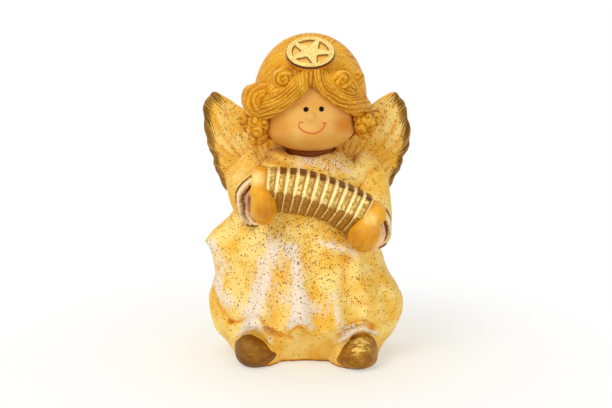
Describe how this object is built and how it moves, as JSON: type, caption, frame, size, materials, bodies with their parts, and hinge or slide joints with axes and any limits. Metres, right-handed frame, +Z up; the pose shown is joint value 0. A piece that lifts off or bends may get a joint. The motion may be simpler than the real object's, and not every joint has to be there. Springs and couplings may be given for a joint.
{
  "type": "ceramic angel figurine",
  "caption": "Painted ceramic angel with a bellows instrument, scalloped wings, gathered dress, curled hair and a gold star medallion.",
  "frame": {"origin": "on the ground, under the middle of the figure's bounding box", "axes": "+Z up from the base to the hair, -Y the way the figure faces, +X to the right of someone looking at its face"},
  "size_m": [0.0928, 0.0664, 0.1388],
  "materials": {
    "dress_paint": "matte",
    "skin_paint": "satin",
    "hair_paint": "satin",
    "lining_paint": "matte",
    "gold_paint": "satin"
  },
  "bodies": {
    "root": {"dress_shell": "dress_paint", "head_shell": "skin_paint", "hair_shell": "hair_paint", "curl_front_left": "hair_paint", "curl_front_right": "hair_paint", "roll_left": "hair_paint", "roll_right": "hair_paint", "ringlets_left": "hair_paint", "ringlets_right": "hair_paint", "medallion": "gold_paint", "wing_left": "dress_paint", "wing_right": "dress_paint", "sleeve_left": "dress_paint", "sleeve_right": "dress_paint", "cuff_left": "lining_paint", "cuff_right": "lining_paint", "hand_left": "hair_paint", "hand_right": "hair_paint", "bellows": "gold_paint", "end_board_left": "hair_paint", "end_board_right": "hair_paint", "shoe_left": "gold_paint", "shoe_right": "gold_paint"}
  },
  "joints": []
}
